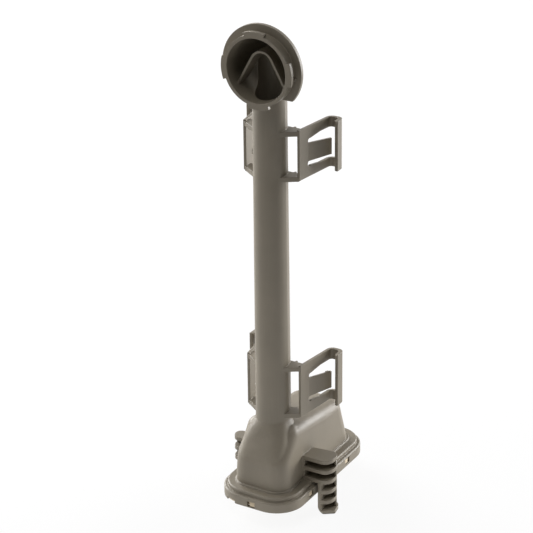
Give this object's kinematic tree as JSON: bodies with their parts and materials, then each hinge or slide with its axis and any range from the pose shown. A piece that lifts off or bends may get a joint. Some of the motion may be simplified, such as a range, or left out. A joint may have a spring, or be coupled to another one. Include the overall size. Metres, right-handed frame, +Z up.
{
  "type": "dishwasher tube",
  "caption": "Upright moulded water feed tube with a bayonet mouth on top, side spring clips, ribbed finger grips and a hollow foot with a sealing ring.",
  "frame": {"origin": "on the tube's axis, in the plane of the skirt's lower edge", "axes": "+Z up the tube, the mouth faces -Y, +X is the side of the long finger grip"},
  "size_m": [0.0682, 0.1001, 0.3014],
  "materials": {
    "grey_plastic": "satin, as moulded",
    "cream_seal": "matt, soft"
  },
  "bodies": {
    "root": {"tube_body": "grey_plastic", "rim_seal": "cream_seal"}
  },
  "joints": []
}
